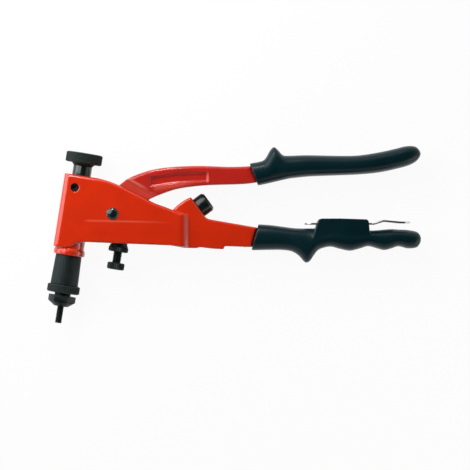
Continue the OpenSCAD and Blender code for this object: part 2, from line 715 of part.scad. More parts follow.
module wrench() color("silver") at_wrench() intersection() {
  plate(wrench_head_w + CUT)
    polygon(concat(
      [for (p = wrench_path) p - [0, wrench_t / 2]],
      [for (i = [len(wrench_path) - 1:-1:0]) wrench_path[i] + [0, wrench_t / 2]]
    ));
  rotate([90, 0, 0]) translate([0, 0, -FAR / 2]) linear_extrude(FAR) difference() {
    union() {
      translate([wrench_path[0][0] + wrench_w / 2, 0]) circle(d = wrench_w);
      translate([wrench_path[0][0] + wrench_w / 2, -wrench_w / 2])
        square([wrench_neck + CUT - wrench_path[0][0] - wrench_w / 2, wrench_w]);
      polygon([
        for (side = [-1, 1]) each wrench_half(side)
      ]);
    }
    translate([wrench_end - 12, -jaw_w / 2]) square([FAR, jaw_w]);
  }
}

body_casting();
lower_grip();
nose_sleeve();
pivot_pin();
pivot_circlip();
guide_bush();
guide_screw();
stop_buffer();
buffer_stud();
stop_insert();
lever();
lever_bush();
upper_grip();
draw_sleeve();
upper_thrust_washer();
lower_thrust_washer();
spindle();
knob();
knob_screw();
mandrel_chuck();
mandrel();
nosepiece();
nose_lock_ring();
stroke_stud();
stroke_knob();
stop_washer();
stop_lock_nut();
wrench();
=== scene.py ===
import json
import math

import bmesh
import bpy
from bpy.props import FloatProperty, FloatVectorProperty, PointerProperty
from mathutils import Matrix, Vector


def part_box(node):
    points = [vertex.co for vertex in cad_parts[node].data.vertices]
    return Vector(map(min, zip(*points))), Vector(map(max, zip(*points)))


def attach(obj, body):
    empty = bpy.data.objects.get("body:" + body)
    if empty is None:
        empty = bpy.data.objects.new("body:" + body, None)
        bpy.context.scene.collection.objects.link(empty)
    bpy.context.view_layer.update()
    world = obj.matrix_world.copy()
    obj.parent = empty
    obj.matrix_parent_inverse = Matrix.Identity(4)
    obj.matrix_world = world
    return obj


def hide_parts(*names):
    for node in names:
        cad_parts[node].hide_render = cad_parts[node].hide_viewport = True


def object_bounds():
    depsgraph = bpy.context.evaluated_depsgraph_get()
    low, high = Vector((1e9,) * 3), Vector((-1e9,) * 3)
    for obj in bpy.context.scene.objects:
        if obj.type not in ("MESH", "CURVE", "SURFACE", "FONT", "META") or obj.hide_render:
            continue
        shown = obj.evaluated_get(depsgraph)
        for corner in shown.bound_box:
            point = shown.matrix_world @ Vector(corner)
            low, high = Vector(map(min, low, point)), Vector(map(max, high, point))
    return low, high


bl_info = {
    "name": "Rivet nut tool",
    "version": (1, 0, 0),
    "blender": (4, 5, 0),
    "location": "3D View > Sidebar > Rivet nut tool",
    "description": "Dresses the packed solids of a hand tool that sets rivet nuts",
    "category": "Object",
}

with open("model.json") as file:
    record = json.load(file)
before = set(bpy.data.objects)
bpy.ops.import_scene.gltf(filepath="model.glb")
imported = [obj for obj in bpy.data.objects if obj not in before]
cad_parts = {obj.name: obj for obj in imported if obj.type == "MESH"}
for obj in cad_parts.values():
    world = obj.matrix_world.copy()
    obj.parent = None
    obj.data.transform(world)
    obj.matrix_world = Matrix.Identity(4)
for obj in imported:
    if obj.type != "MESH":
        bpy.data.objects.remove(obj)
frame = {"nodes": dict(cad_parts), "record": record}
cad_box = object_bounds()

MM = 0.001
NODES = frame["nodes"]
BODY_OF = {
    node: body for body, nodes in frame["record"]["behaviour"]["bodies"].items() for node in nodes
}
SLOT_OF = {part["node"]: part["material_slot"] for part in frame["record"]["subparts"]}

# The photograph's view: the camera looks straight down on the tool, which lies turned by this angle
PHOTO_TURN = math.radians(9)
PHOTO_CENTRE = Vector((115.9, 70.2, 0)) * MM
PHOTO_WIDTH = 338.4 * MM
SENSOR_MM = 36

# The lever's pivot and the frames of the two grips, from the solids
PIVOT = Vector((27, 71.5, 0))
HEAD_RISE = 23.5
LOWER_FRAME = (PIVOT + Vector((103.3, -0.7, 0)), math.radians(8))
UPPER_FRAME = (PIVOT + Vector((95.4, HEAD_RISE + 20.3, 0)), math.radians(16))

# Stations of the grips in their own frames: top point, bottom point, share of the half width
LOWER_STATIONS = [
    (2.3, 9.4, -2.3, -9.4, 0.86), (11, 9, 11, -8.9, 0.9), (20, 8, 20, -8.8, 0.92), (27, 7.2, 27, -9.8, 0.94),
    (32, 7, 31.9, -12.8, 0.96), (35.4, 7, 35.3, -16.5, 0.96), (37.5, 7.1, 37.4, -17.7, 0.96),
    (40, 7.1, 39.9, -16.4, 0.96), (42.5, 7.1, 42.1, -13.1, 0.96), (46, 7.1, 45.5, -8.6, 0.97),
    (50, 7, 49.9, -6.6, 0.98), (55, 7, 54.9, -5.8, 1), (61.4, 6.9, 61.4, -7.3, 1), (68.6, 6.8, 68.6, -8.5, 1),
    (75.8, 6.5, 75.8, -6.7, 1), (81.5, 6.3, 81.5, -5, 1), (87.3, 6.6, 87.3, -6.3, 1), (93, 7.2, 93, -7.6, 1),
    (98.1, 7.6, 98.1, -6.4, 1), (103.4, 7.4, 103.4, -4.7, 0.98), (110, 7.2, 110, -6.1, 0.95),
    (116.4, 6, 116.1, -5.4, 0.82), (118.8, 3.5, 118.6, -2.7, 0.58), (119.6, 0.6, 119.6, 0.2, 0.1),
]
UPPER_STATIONS = [
    (-2.1, 8.3, 2.1, -8.3, 0.86), (7, 8.9, 8.5, -7.7, 0.9), (10.3, 11.1, 11.5, -7.4, 0.92),
    (13.7, 15.7, 14.3, -7.1, 0.94), (16.9, 17.9, 17, -6.8, 0.94), (19.6, 15.2, 20, -6.5, 0.95),
    (22.5, 11.3, 23, -6.2, 0.96), (27, 10.3, 27, -6, 0.97), (40, 9.1, 40, -6.3, 1),
    (62.5, 5.9, 62.5, -8.2, 1), (76, 4.5, 76, -9.2, 1), (90, 4.8, 90, -9.5, 1),
    (102.4, 5.9, 102.1, -8.5, 1), (111, 6.9, 111, -7.2, 0.97), (117.4, 6, 116.6, -5.2, 0.82),
    (120.2, 3.1, 119.6, -2.6, 0.58), (121.2, 0.4, 121.2, 0, 0.1),
]
WRENCH_BLOCK = [
    (41.4, -1), (42.3, 4), (43.8, 9), (44.9, 12.2), (45.7, 13.7), (47.2, 14.3), (61, 14.6),
    (79.7, 14.3), (80.9, 13.7), (81.4, 12.2), (82, 6), (83, -1),
]

# Slot through the block for the wrench's handle, in the same frame
WRENCH_SLOT = [(36, 9.44), (92, 10.41), (92, 12.21), (36, 11.24)]

# Low pad on the cheeks, in the tool's frame: its crease, and its other sides, which fade out
PAD_CREASE = [(71.4, 72.3), (6.6, 63.4)]
PAD_SIDES = [(6.6, 63.4), (11.7, 51.5), (70.7, 60.8), (71.4, 72.3)]
PAD_RISE = 0.16
CREASE_RUN = 0.8
FADE_RUN = 6
CHEEK_SKIN = 10.5

# Heights from the middle plane between which the rims of the cheeks, and of the arm and the lever, lie
CHEEK_BAND = (10 * MM, 20 * MM)
ARM_BAND = (7.5 * MM, 9 * MM)

# Slope where the lever's thin plate, which runs between the cheeks, meets its thick one
STEP_AT = Vector((46.3, 92.6))
STEP_SIDE = Vector((9, 22.5)).normalized()
STEP_RUN = 1.7
THIN_HALF = 6.75
THICK_HALF = 8

# Lines along which the lever's enamel is painted paler as a highlight, in part rubbed: the slope's upper edge
# and the border below the panel
STEP_LINE = [(32.5, 98.8), (52, 91.2)]
PANEL_BORDER = [(52, 93.7), (86, 104.2)]


def linear(code):
    """Linear RGBA of an sRGB hex colour."""
    shares = [int(code[i:i + 2], 16) / 255 for i in (1, 3, 5)]
    return [s / 12.92 if s <= 0.04045 else ((s + 0.055) / 1.055) ** 2.4 for s in shares] + [1.0]


def colour(title, code, says):
    """Property for a colour that is written as an sRGB hex value."""
    return FloatVectorProperty(
        name=title, description=says, default=linear(code), size=4, min=0, max=1, subtype="COLOR"
    )


def length(title, size_mm, says):
    """Property for a length that is written in millimetres."""
    return FloatProperty(
        name=title, description=says, default=size_mm * MM, min=0, subtype="DISTANCE", unit="LENGTH",
        precision=5,
    )


def level(title, default, says):
    """Property for a lamp's power or for the strength of a light."""
    return FloatProperty(name=title, description=says, default=default, min=0)


class RivetToolColours(bpy.types.PropertyGroup):
    """Colours of the tool's finishes"""
    casting_red: colour("Casting red", "#dc2f0c", "Enamel on the die-cast body")
    lever_red: colour("Lever red", "#c4271d", "Enamel on the forged lever")
    # Paler red for painted highlights on edges and lines, where the enamel is also in part rubbed thin
    worn_and_highlight_red: colour("Worn red", "#f2836c", "Enamel rubbed thin along the edges")
    grip_black: colour("Grip black", "#021f24", "Moulded sleeves of the handles")
    steel_black: colour("Black steel", "#1f2a28", "Black oxide on the turned steel pieces")
    steel_rubbed: colour("Rubbed steel", "#59615d", "Black oxide rubbed bright on the edges")
    zinc_grey: colour("Zinc grey", "#b4b8bb", "Zinc plating on the wrench")
    bright_grey: colour("Bright steel", "#b9b9b5", "Ground steel of the spindle and screws")
    bronze_brown: colour("Bronze", "#a5763c", "Sintered bronze of the bushes and washers")
    rubber_black: colour("Rubber black", "#0b1414", "Moulded rubber of the stop buffer")


class RivetToolSizes(bpy.types.PropertyGroup):
    """Sizes of the detail that the solids leave plain"""
    cheek_round: length("Cheek edge", 2.6, "Radius along the edges of the head's cheeks")
    arm_round: length("Arm edge", 1.8, "Radius along the edges of the lower arm")
    under_round: length("Lower edge", 1.0, "Radius along the edges of the undersides")
    lever_round: length("Lever edge", 2.6, "Radius along the lever's outer edges")
    panel_slope: length("Panel slope", 1.4, "Width of the slope round the lever's sunk panels")
    cast_step: length("Casting step", 0.42, "Spacing of the points on the casting's skin")
    skin_step: length("Lever step", 0.42, "Spacing of the points on the lever's skin")
    grip_step: length("Grip step", 0.6, "Spacing of the points on the grips' skin")
    grip_half: length("Grip half width", 11.5, "Half of the grips' width across their faces")
    block_half: length("Block half width", 11, "Half of the width of the block that holds the wrench")
    slot_half: length("Slot half width", 6.25, "Half of the width of the slot in that block")
    knurl_pitch: length("Knurl pitch", 1.7, "Spacing of the diamonds on the knob and the lock ring")
    knurl_depth: length("Knurl depth", 0.42, "Depth of the diamonds")
    rib_pitch: length("Rib pitch", 1.25, "Spacing of the ribs on the stroke screw's head and its lock nut")
    rib_depth: length("Rib depth", 0.35, "Depth of the ribs")
    fine_pitch: length("Mandrel thread", 0.8, "Pitch of the mandrel's thread")
    coarse_pitch: length("Stroke thread", 1.0, "Pitch of the stroke screw's thread")


class RivetToolStage(bpy.types.PropertyGroup):
    """Floor, camera and lamps"""
    floor_white: colour("Floor", "#f7f7f7", "Plain pale floor")
    camera_height: FloatProperty(
        name="Camera height", description="Distance from the tool to the camera", default=1.6, unit="LENGTH"
    )
    key_power: level("Key lamp", 3.05, "Power of the soft box high at the left")
    left_power: level("Left lamp", 0.7, "Power of the soft box beside the nose")
    top_power: level("Top lamp", 1.0, "Power of the small lamp beyond the knob")
    right_power: level("Right lamp", 0.35, "Power of the low lamp beyond the grips")
    ambient: level("Ambient", 0.14, "Strength of the soft light from all round")
    ceiling: level("Ceiling", 0.01, "Strength of the dim ceiling that shines back")


def add_node(tree, kind, settings, inputs):
    """Adds one shader node, sets its options and fills or links its sockets."""
    made = tree.nodes.new(kind)
    for key, value in settings.items():
        setattr(made, key, value)
    for key, value in inputs.items():
        if isinstance(value, bpy.types.NodeSocket):
            tree.links.new(value, made.inputs[key])
        else:
            made.inputs[key].default_value = value
    return made


def new_finish(name):
    """Empty node material with its shader and its place on the object, in metres."""
    material = bpy.data.materials.new(name)
    material.use_nodes = True
    tree = material.node_tree
    tree.nodes.clear()
    shader = add_node(tree, "ShaderNodeBsdfPrincipled", {}, {})
    add_node(tree, "ShaderNodeOutputMaterial", {}, {"Surface": shader.outputs["BSDF"]})
    place = add_node(tree, "ShaderNodeTexCoord", {}, {})
    return material, tree, shader, place.outputs["Object"]


def seen_by_eye(tree):
    """Socket that is 1 for what is seen, mirrored or looked through, and 0 for light that falls on things."""
    path = add_node(tree, "ShaderNodeLightPath", {}, {})
    either = add_node(tree, "ShaderNodeMath", {"operation": "MAXIMUM"}, {
        0: path.outputs["Is Camera Ray"], 1: path.outputs["Is Glossy Ray"],
    })
    seen = add_node(tree, "ShaderNodeMath", {"operation": "MAXIMUM"}, {
        0: either.outputs[0], 1: path.outputs["Is Transmission Ray"],
    })
    return seen.outputs[0]


def per_metre(size_mm):
    """Noise scale whose patches have that size."""
    return 1 / (size_mm * MM)


# Enamel sprayed on a casting or a forging: glossy and deep red, faintly wavy like orange peel,
# painted paler on the edges and along some lines as a highlight, in part where the enamel is rubbed thin, and
# with painted shade darkening the corners
def red_enamel(name, red):
    hues = bpy.context.scene.rivet_tool_colours
    material, tree, shader, place = new_finish(name)
    cloud = add_node(tree, "ShaderNodeTexNoise", {}, {"Vector": place, "Scale": per_metre(14), "Detail": 3.0})
    shade = add_node(tree, "ShaderNodeMapRange", {}, {
        "Value": cloud.outputs["Fac"], "From Min": 0.3, "From Max": 0.7, "To Min": 0.0, "To Max": 0.16,
    })
    deep = add_node(tree, "ShaderNodeMix", {"data_type": "RGBA", "blend_type": "MULTIPLY"}, {
        0: shade.outputs["Result"], 6: red, 7: linear("#a8a0a0"),
    })
    bend = add_node(tree, "ShaderNodeNewGeometry", {}, {})
    # Painted highlight: sharp edges are painted paler, partly as enamel rubbed thin and partly as the sheen
    # of light on the rounded edges
    edge = add_node(tree, "ShaderNodeMapRange", {}, {
        "Value": bend.outputs["Pointiness"], "From Min": 0.53, "From Max": 0.62,
        "To Min": 0.0, "To Max": 0.06,
    })
    thin_and_sheen = add_node(tree, "ShaderNodeMix", {"data_type": "RGBA"}, {
        0: edge.outputs["Result"], 6: deep.outputs[2], 7: list(hues.worn_and_highlight_red),
    })
    # Painted light read from a mesh attribute: lines and the lever's thin plate are painted paler as if lit,
    # in part where the enamel is rubbed thin
    wear_and_highlight = add_node(tree, "ShaderNodeAttribute", {"attribute_name": "wear_and_highlight"}, {})
    worn_and_highlight = add_node(tree, "ShaderNodeMix", {"data_type": "RGBA"}, {
        0: wear_and_highlight.outputs["Fac"], 6: thin_and_sheen.outputs[2], 7: list(hues.worn_and_highlight_red),
    })
    # Painted shade: hollows and inner corners are painted darker where shade falls in them
    corner = add_node(tree, "ShaderNodeMapRange", {}, {
        "Value": bend.outputs["Pointiness"], "From Min": 0.48, "From Max": 0.4, "To Min": 0.0, "To Max": 0.6,
    })
    painted_corner_shade = add_node(tree, "ShaderNodeMix", {"data_type": "RGBA"}, {
        0: corner.outputs["Result"], 6: worn_and_highlight.outputs[2], 7: linear("#4a0d0a"),
    })
    tree.links.new(painted_corner_shade.outputs[2], shader.inputs["Base Color"])
    gloss = add_node(tree, "ShaderNodeMapRange", {}, {
        "Value": cloud.outputs["Fac"], "To Min": 0.2, "To Max": 0.3,
    })
    tree.links.new(gloss.outputs["Result"], shader.inputs["Roughness"])
    peel = add_node(tree, "ShaderNodeTexNoise", {}, {"Vector": place, "Scale": per_metre(1.8), "Detail": 1.0})
    skin = add_node(tree, "ShaderNodeBump", {}, {
        "Height": peel.outputs["Fac"], "Strength": 0.35, "Distance": 0.05 * MM,
    })
    wave = add_node(tree, "ShaderNodeBump", {}, {
        "Height": cloud.outputs["Fac"], "Strength": 0.5, "Distance": 0.35 * MM,
        "Normal": skin.outputs["Normal"],
    })
    tree.links.new(wave.outputs["Normal"], shader.inputs["Normal"])
    # One clear skin mirrors the room, so the colour under it hardly does
    shader.inputs["Specular IOR Level"].default_value = 0.15
    shader.inputs["Coat Weight"].default_value = 0.85
    shader.inputs["Coat Roughness"].default_value = 0.12
    return material


def casting_enamel(name):
    return red_enamel(name, list(bpy.context.scene.rivet_tool_colours.casting_red))


def forging_enamel(name):
    return red_enamel(name, list(bpy.context.scene.rivet_tool_colours.lever_red))


# PVC moulded in a grained mould: nearly black with a blue-green cast, satin, with a fine leathery grain
def moulded_pvc(name):
    hues = bpy.context.scene.rivet_tool_colours
    material, tree, shader, place = new_finish(name)
    cloud = add_node(tree, "ShaderNodeTexNoise", {}, {"Vector": place, "Scale": per_metre(20), "Detail": 4.0})
    tone = add_node(tree, "ShaderNodeMix", {"data_type": "RGBA"}, {
        0: cloud.outputs["Fac"], 6: list(hues.grip_black), 7: linear("#04272d"),
    })
    tree.links.new(tone.outputs[2], shader.inputs["Base Color"])
    grain = add_node(tree, "ShaderNodeTexVoronoi", {}, {"Vector": place, "Scale": per_metre(0.9)})
    skin = add_node(tree, "ShaderNodeBump", {}, {
        "Height": grain.outputs["Distance"], "Strength": 0.25, "Distance": 0.05 * MM,
    })
    tree.links.new(skin.outputs["Normal"], shader.inputs["Normal"])
    gloss = add_node(tree, "ShaderNodeMapRange", {}, {
        "Value": cloud.outputs["Fac"], "To Min": 0.28, "To Max": 0.42,
    })
    tree.links.new(gloss.outputs["Result"], shader.inputs["Roughness"])
    shader.inputs["Specular IOR Level"].default_value = 0.2
    return material


# Steel turned on a lathe and blacked in oxide: a dark metal with fine rings round its axis,
# mottled by the oil and rubbed brighter on the edges
def black_oxide_steel(name, smooth, shine, film):
    hues = bpy.context.scene.rivet_tool_colours
    material, tree, shader, place = new_finish(name)
    mottle = add_node(tree, "ShaderNodeTexNoise", {}, {"Vector": place, "Scale": per_metre(5), "Detail": 5.0})
    tone = add_node(tree, "ShaderNodeMix", {"data_type": "RGBA"}, {
        0: mottle.outputs["Fac"], 6: linear("#131c1b"), 7: list(hues.steel_black),
    })
    bend = add_node(tree, "ShaderNodeNewGeometry", {}, {})
    edge = add_node(tree, "ShaderNodeMapRange", {}, {
        "Value": bend.outputs["Pointiness"], "From Min": 0.52, "From Max": 0.64, "To Min": 0.0, "To Max": 0.3,
    })
    wear_and_highlight = add_node(tree, "ShaderNodeMix", {"data_type": "RGBA"}, {
        0: edge.outputs["Result"], 6: tone.outputs[2], 7: list(hues.steel_rubbed),
    })
    tree.links.new(wear_and_highlight.outputs[2], shader.inputs["Base Color"])
    # Lathe rings are about 0.1 mm apart, and are drawn at 0.6 mm so that they show
    rings = add_node(tree, "ShaderNodeTexWave", {"bands_direction": "Y"}, {
        "Vector": place, "Scale": per_metre(0.6) / 20, "Distortion": 1.5, "Detail": 2.0,
    })
    skin = add_node(tree, "ShaderNodeBump", {}, {
        "Height": rings.outputs["Fac"], "Strength": 0.2, "Distance": 0.04 * MM,
    })
    tree.links.new(skin.outputs["Normal"], shader.inputs["Normal"])
    gloss = add_node(tree, "ShaderNodeMapRange", {}, {
        "Value": mottle.outputs["Fac"], "To Min": smooth, "To Max": smooth + 0.12,
    })
    tree.links.new(gloss.outputs["Result"], shader.inputs["Roughness"])
    # The oxide is a thin dark skin, so that the steel under it shows through as metal in part
    shader.inputs["Metallic"].default_value = 0.4
    shader.inputs["Specular IOR Level"].default_value = shine
    shader.inputs["Coat Weight"].default_value = film
    shader.inputs["Coat Roughness"].default_value = 0.05
    return material


def turned_oxide(name):
    return black_oxide_steel(name, smooth=0.5, shine=0.25, film=0.0)


# Turned finely and kept oiled, so that it stays nearly black
def oiled_oxide(name):
    return black_oxide_steel(name, smooth=0.3, shine=0.1, film=0.0)


# Ground before it was blacked and wiped with oil, so that the lamps show in it as clear glints
def polished_oxide(name):
    return black_oxide_steel(name, smooth=0.08, shine=0.2, film=0.6)


# Pale metal with a drawn or sintered grain: bright, with streaks along one direction
def pale_metal(name, hue, dark, grain_mm, rough):
    material, tree, shader, place = new_finish(name)
    drawn = add_node(tree, "ShaderNodeMapping", {}, {"Vector": place, "Scale": (0.15, 1.0, 1.0)})
    streak = add_node(tree, "ShaderNodeTexNoise", {}, {
        "Vector": drawn.outputs["Vector"], "Scale": per_metre(grain_mm), "Detail": 4.0,
    })
    tone = add_node(tree, "ShaderNodeMix", {"data_type": "RGBA"}, {
        0: streak.outputs["Fac"], 6: hue, 7: dark,
    })
    tree.links.new(tone.outputs[2], shader.inputs["Base Color"])
    gloss = add_node(tree, "ShaderNodeMapRange", {}, {
        "Value": streak.outputs["Fac"], "To Min": rough - 0.08, "To Max": rough + 0.1,
    })
    tree.links.new(gloss.outputs["Result"], shader.inputs["Roughness"])
    skin = add_node(tree, "ShaderNodeBump", {}, {
        "Height": streak.outputs["Fac"], "Strength": 0.15, "Distance": 0.03 * MM,
    })
    tree.links.new(skin.outputs["Normal"], shader.inputs["Normal"])
    shader.inputs["Metallic"].default_value = 1.0
    return material


def zinc_plated_steel(name):
    hues = bpy.context.scene.rivet_tool_colours
    return pale_metal(name, list(hues.zinc_grey), linear("#8d9194"), grain_mm=0.8, rough=0.32)


def ground_steel(name):
    hues = bpy.context.scene.rivet_tool_colours
    return pale_metal(name, list(hues.bright_grey), linear("#8f8f8c"), grain_mm=0.5, rough=0.28)


def sintered_bronze(name):
    hues = bpy.context.scene.rivet_tool_colours
    return pale_metal(name, list(hues.bronze_brown), linear("#6e4c25"), grain_mm=0.6, rough=0.42)


# Rubber moulded round a stud: black, smooth from its mould, with a faint bloom of dust
def moulded_rubber(name):
    hues = bpy.context.scene.rivet_tool_colours
    material, tree, shader, place = new_finish(name)
    bloom = add_node(tree, "ShaderNodeTexNoise", {}, {
        "Vector": place, "Scale": per_metre(2.5), "Detail": 6.0,
    })
    tone = add_node(tree, "ShaderNodeMix", {"data_type": "RGBA"}, {
        0: bloom.outputs["Fac"], 6: list(hues.rubber_black), 7: linear("#16211f"),
    })
    tree.links.new(tone.outputs[2], shader.inputs["Base Color"])
    skin = add_node(tree, "ShaderNodeBump", {}, {
        "Height": bloom.outputs["Fac"], "Strength": 0.3, "Distance": 0.08 * MM,
    })
    tree.links.new(skin.outputs["Normal"], shader.inputs["Normal"])
    shader.inputs["Roughness"].default_value = 0.2
    shader.inputs["Specular IOR Level"].default_value = 0.45
    return material


FINISHES = {
    "sprayed_enamel_on_die_cast_aluminium": casting_enamel,
    "sprayed_enamel_on_forged_steel": forging_enamel,
    "grained_moulded_pvc": moulded_pvc,
    "turned_black_oxide_steel": turned_oxide,
    "oiled_black_oxide_steel": oiled_oxide,
    "polished_black_oxide_steel": polished_oxide,
    "drawn_zinc_plated_steel": zinc_plated_steel,
    "ground_bright_steel": ground_steel,
    "pressed_sintered_bronze": sintered_bronze,
    "moulded_black_rubber": moulded_rubber,
}
OILED = "oiled_black_oxide_steel"
POLISHED = "polished_black_oxide_steel"
FINISH_OF_SLOT = {
    "red_casting": "sprayed_enamel_on_die_cast_aluminium",
    "red_lever": "sprayed_enamel_on_forged_steel",
    "black_grip": "grained_moulded_pvc",
    "black_steel": "turned_black_oxide_steel",
    "zinc_steel": "drawn_zinc_plated_steel",
    "bright_steel": "ground_bright_steel",
    "bronze": "pressed_sintered_bronze",
    "black_rubber": "moulded_black_rubber",
}


def finish(name):
    """The finish of that name, made on its first use."""
    return bpy.data.materials.get(name) or FINISHES[name](name)


def add_piece(name, bm, node, crease=40, surface=None):
    """Shows a mesh in place of a node, on the node's body and in the finish of its slot or a given one."""
    bmesh.ops.recalc_face_normals(bm, faces=bm.faces)
    for face in bm.faces:
        face.smooth = True
        face.material_index = 0
    for edge in bm.edges:
        edge.smooth = edge.is_manifold and edge.calc_face_angle() < math.radians(crease)
    mesh = bpy.data.meshes.new(name)
    bm.to_mesh(mesh)
    bm.free()
    mesh.materials.append(finish(surface or FINISH_OF_SLOT[SLOT_OF[node]]))
    piece = bpy.data.objects.new(name, mesh)
    bpy.context.scene.collection.objects.link(piece)
    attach(piece, BODY_OF[node])
    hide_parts(node)
    return piece


def solid_of(node):
    """Mesh of a node's solid, joined along its edges and with its flat faces whole."""
    bm = bmesh.new()
    bm.from_mesh(NODES[node].data)
    bmesh.ops.remove_doubles(bm, verts=bm.verts, dist=0.001 * MM)
    bmesh.ops.dissolve_limit(bm, angle_limit=math.radians(0.5), verts=bm.verts, edges=bm.edges)
    return bm


def eased(node, width, segments=2, corner=30):
    """A node's solid with its sharp edges rounded."""
    bm = solid_of(node)
    sharp = [e for e in bm.edges if e.is_manifold and e.calc_face_angle() > math.radians(corner)]
    bmesh.ops.bevel(
        bm, geom=sharp, offset=width, offset_type="OFFSET", segments=segments, profile=0.5, affect="EDGES",
        clamp_overlap=True,
    )
    return bm


def outer_rims(bm, above, below, facing, holes=()):
    """Edges where a face across the tool meets a tall wall that faces up or down, away from round holes."""
    rims = []
    for edge in bm.edges:
        if not edge.is_manifold or not edge.is_convex:
            continue
        across = [abs(f.normal.z) > 0.9 for f in edge.link_faces]
        middle = (edge.verts[0].co + edge.verts[1].co) / 2
        if across[0] == across[1] or not above < abs(middle.z) < below:
            continue
        wall = edge.link_faces[across.index(False)]
        heights = [v.co.z for v in wall.verts]
        if max(heights) - min(heights) < 2 * MM or (wall.normal.y > -0.3) != (facing > 0):
            continue
        if all((middle.xy - Vector(at) * MM).length > size * MM for at, size in holes):
            rims.append(edge)
    return rims


def round_over(bm, edges, width):
    """Rounds the given edges."""
    bmesh.ops.bevel(
        bm, geom=edges, offset=width, offset_type="OFFSET", segments=5, profile=0.5, affect="EDGES",
        clamp_overlap=False,
    )


def blank_of(bm):
    """Passing object that holds a mesh while modifiers work on it."""
    mesh = bpy.data.meshes.new("blank")
    bm.to_mesh(mesh)
    bm.free()
    blank = bpy.data.objects.new("blank", mesh)
    bpy.context.scene.collection.objects.link(blank)
    return blank


def worked(blank, *others):
    """Mesh of a passing object as its modifiers leave it. The passing objects are removed."""
    made = bmesh.new()
    made.from_object(blank, bpy.context.evaluated_depsgraph_get())
    for used in (blank, *others):
        mesh = used.data
        bpy.data.objects.remove(used)
        bpy.data.meshes.remove(mesh)
    return made


def skinned(bm, step, passes):
    """One closed skin over a mesh, with all its corners rounded as a casting's are."""
    blank = blank_of(bm)
    skin = blank.modifiers.new("skin", "REMESH")
    skin.mode = "VOXEL"
    skin.voxel_size = step
    ease = blank.modifiers.new("ease", "SMOOTH")
    ease.factor = 0.5
    ease.iterations = passes
    return worked(blank)


def cut_out(bm, waste):
    """A mesh with another one cut out of it."""
    blank = blank_of(bm)
    cutter = blank_of(waste)
    cut = blank.modifiers.new("cut", "BOOLEAN")
    cut.operation = "DIFFERENCE"
    cut.solver = "EXACT"
    cut.object = cutter
    return worked(blank, cutter)


def ease_in(value):
    """Smooth step from 0 to 1."""
    t = min(max(value, 0), 1)
    return t * t * (3 - 2 * t)


def inside_by(at, corners):
    """Distance in millimetres from a place to the nearest of some sides, below 0 beyond them."""
    gaps = []
    for a, b in zip(corners, corners[1:]):
        along = (Vector(b) - Vector(a)).normalized()
        gaps.append(along.cross(at - Vector(a)))
    return min(gaps)


def raise_skin(bm, height):
    """Moves each point of a skin along its normal by the height in millimetres that is given for it."""
    bm.normal_update()
    for vert, lift in [(v, v.normal * height(v.co / MM, v.normal) * MM) for v in bm.verts]:
        vert.co += lift


def wear_and_highlight_along(at, start, end, width):
    """Share of paler enamel near a line, painted as a highlight and in part rubbed off, which fades out
    towards the line's end.
    """
    run = Vector(end) - Vector(start)
    t = (at - Vector(start)).dot(run) / run.length_squared
    off = (at - Vector(start) - run * t).length
    return math.exp(-(off / width) ** 2) * ease_in(12 * t) * ease_in(2 * (1 - t))


def casting_relief(at, normal):
    """Height of the low pad on the casting's cheeks."""
    if abs(normal.z) < 0.95 or abs(at.z) < CHEEK_SKIN:
        return 0
    crease = ease_in(inside_by(at.xy, PAD_CREASE) / CREASE_RUN)
    return PAD_RISE * crease * ease_in(inside_by(at.xy, PAD_SIDES) / FADE_RUN)


def smooth_through(points, steps):
    """Points along the smooth curve through the given points."""
    made = []
    last = len(points) - 1
    for i in range(last):
        a, b, c, d = (Vector(points[min(max(i + k, 0), last)]) for k in (-1, 0, 1, 2))
        for k in range(steps):
            t = k / steps
            square = 2 * a - 5 * b + 4 * c - d
            cube = 3 * b - a - 3 * c + d
            made.append(0.5 * (2 * b + (c - a) * t + square * t * t + cube * t ** 3))
    return made + [Vector(points[last])]


def soft(value):
    """Sine or cosine, flattened to round a section's sides."""
    return math.copysign(abs(value) ** 0.8, value)


def sleeve_loft(bm, stations, half, sides, steps):
    """Closed loft through a grip's stations, in the grip's own frame."""
    rings = []
    for s in smooth_through(stations, steps):
        ring = []
        for k in range(sides):
            angle = math.tau * k / sides
            t = (1 + soft(math.sin(angle))) / 2
            x = s[2] + (s[0] - s[2]) * t
            y = s[3] + (s[1] - s[3]) * t
            ring.append(bm.verts.new((x * MM, y * MM, half * s[4] * soft(math.cos(angle)))))
        rings.append(ring)
    for low, high in zip(rings, rings[1:]):
        for k in range(sides):
            bm.faces.new((low[k - 1], low[k], high[k], high[k - 1]))
    bm.faces.new(rings[0])
    bm.faces.new(rings[-1])


def prism(bm, outline, half):
    """Closed plate of an outline in millimetres, on both sides of the middle plane."""
    back = [bm.verts.new((x * MM, y * MM, -half)) for x, y in outline]
    front = [bm.verts.new((x * MM, y * MM, half)) for x, y in outline]
    bm.faces.new(back)
    bm.faces.new(front)
    for k in range(len(outline)):
        bm.faces.new((back[k - 1], back[k], front[k], front[k - 1]))


def put_in_frame(bm, place):
    """Moves a mesh from a grip's own frame to the tool's."""
    at, turn = place
    bm.transform(Matrix.Translation(at * MM) @ Matrix.Rotation(turn, 4, "Z"))


def turned(rows, x, sides, hollow=True):
    """Body turned about an axis along Y. A row is a radius, or a function of the angle, and a height."""
    bm = bmesh.new()
    rings = []
    for radius, y in rows:
        ring = []
        for k in range(sides):
            angle = math.tau * k / sides
            r = radius(angle) if callable(radius) else radius
            ring.append(bm.verts.new((x + r * math.cos(angle), y, r * math.sin(angle))))
        rings.append(ring)
    follow = rings[1:] + rings[:1] if hollow else rings[1:]
    for low, high in zip(rings, follow):
        for k in range(sides):
            bm.faces.new((low[k - 1], low[k], high[k], high[k - 1]))
    bmesh.ops.remove_doubles(bm, verts=bm.verts, dist=0.0005 * MM)
    return bm


def ridge(t):
    """Height of a triangular ridge: 1 at whole numbers and 0 halfway."""
    return abs(2 * (t % 1) - 1)


